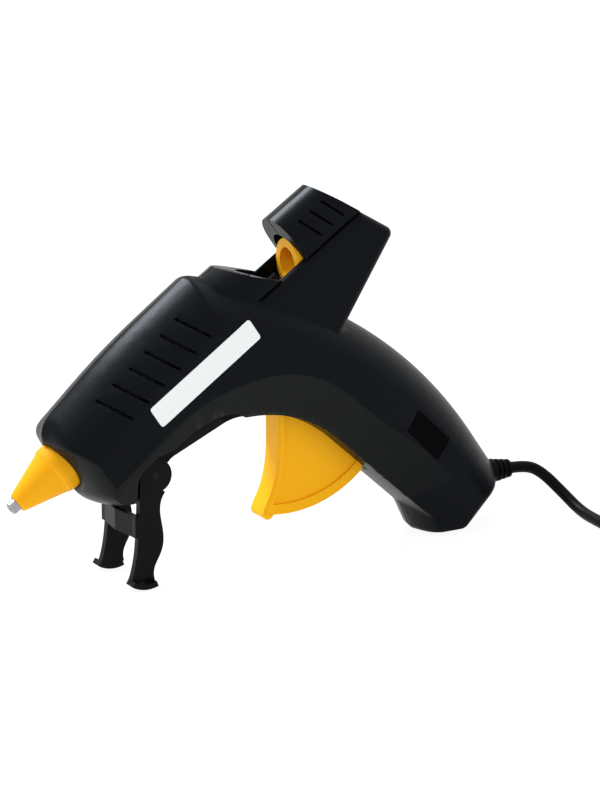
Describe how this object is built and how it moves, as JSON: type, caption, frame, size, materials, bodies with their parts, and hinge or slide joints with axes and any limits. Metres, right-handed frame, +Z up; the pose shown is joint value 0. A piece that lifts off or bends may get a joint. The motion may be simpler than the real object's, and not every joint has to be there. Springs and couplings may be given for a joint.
{
  "type": "glue gun",
  "caption": "Hot-melt glue gun with pistol grip, trigger feed, yellow nozzle sleeve, fold-down stand and a coiled mains lead with a flat plug.",
  "frame": {"origin": "middle of the gun's own length, on the floor it stands on, in its plane of symmetry", "axes": "+X from the nozzle towards the grip and cord, +Y to the gun's right side, +Z up"},
  "size_m": [0.3281, 0.103, 0.1514],
  "materials": {
    "housing_black": "satin moulded plastic, finely grained",
    "stand_black": "satin moulded plastic",
    "trigger_yellow": "semi-gloss amber yellow plastic",
    "sleeve_yellow": "heat-proof silicone, satin",
    "clamp_yellow": "semi-gloss amber yellow plastic",
    "silicone_grey": "translucent red-brown silicone",
    "nozzle_metal": "turned",
    "chamber_metal": "die cast",
    "heater_ceramic": "matt ceramic",
    "electrode_metal": "bright sheet",
    "spring_steel": "drawn wire",
    "steel": "ground pin",
    "screw_steel": "blackened",
    "label_white": "satin foil",
    "badge_black": "satin",
    "wire_brown": "satin insulation",
    "wire_blue": "satin insulation",
    "cord_black": "satin rubber",
    "plug_black": "satin moulded plastic",
    "pin_metal": "nickel plated"
  },
  "bodies": {
    "housing": {"left_housing": "housing_black", "right_housing": "housing_black", "housing_screws": "screw_steel", "nozzle_tip": "nozzle_metal", "nozzle_sleeve": "sleeve_yellow", "melt_chamber": "chamber_metal", "ptc_heater": "heater_ceramic", "heater_plates": "electrode_metal", "wire_terminals": "electrode_metal", "inlet_sleeve": "silicone_grey", "sleeve_clip": "spring_steel", "trigger_pin": "steel", "return_spring": "spring_steel", "stand_axle": "steel", "rating_label": "label_white", "badge_plate": "badge_black", "live_wire": "wire_brown", "neutral_wire": "wire_blue", "cord_boot": "cord_black", "cord_tail": "cord_black", "cord_clamp": "stand_black", "clamp_screws": "steel", "power_cord": "cord_black", "cord_coil": "cord_black", "plug_lead": "cord_black", "plug_body": "plug_black", "plug_pins": "pin_metal"},
    "trigger": {"trigger": "trigger_yellow"},
    "feed": {"feed_carriage": "stand_black", "stick_clamp": "clamp_yellow"},
    "stand": {"stand": "stand_black"}
  },
  "joints": [
    {"name": "trigger_pull", "type": "hinge", "parent": "housing", "child": "trigger", "pos_m": [0.00085, 0, 0.071], "axis": [0, -1, 0], "range_deg": [0, 24], "stiffness_Nm_per_rad": 0.25, "springref_deg": -11.46},
    {"name": "feed_slide", "type": "slide", "parent": "housing", "child": "feed", "axis": [-0.8241, 0, -0.5664], "range_m": [0, 0.0126], "deforming": ["return_spring"]},
    {"name": "stand_fold", "type": "hinge", "parent": "housing", "child": "stand", "pos_m": [-0.06015, 0, 0.045], "axis": [0, -1, 0], "range_deg": [0, 115]}
  ],
  "couplings": [
    {"joint": "feed_slide", "follows": "trigger_pull", "m_per_rad": 0.0297}
  ]
}
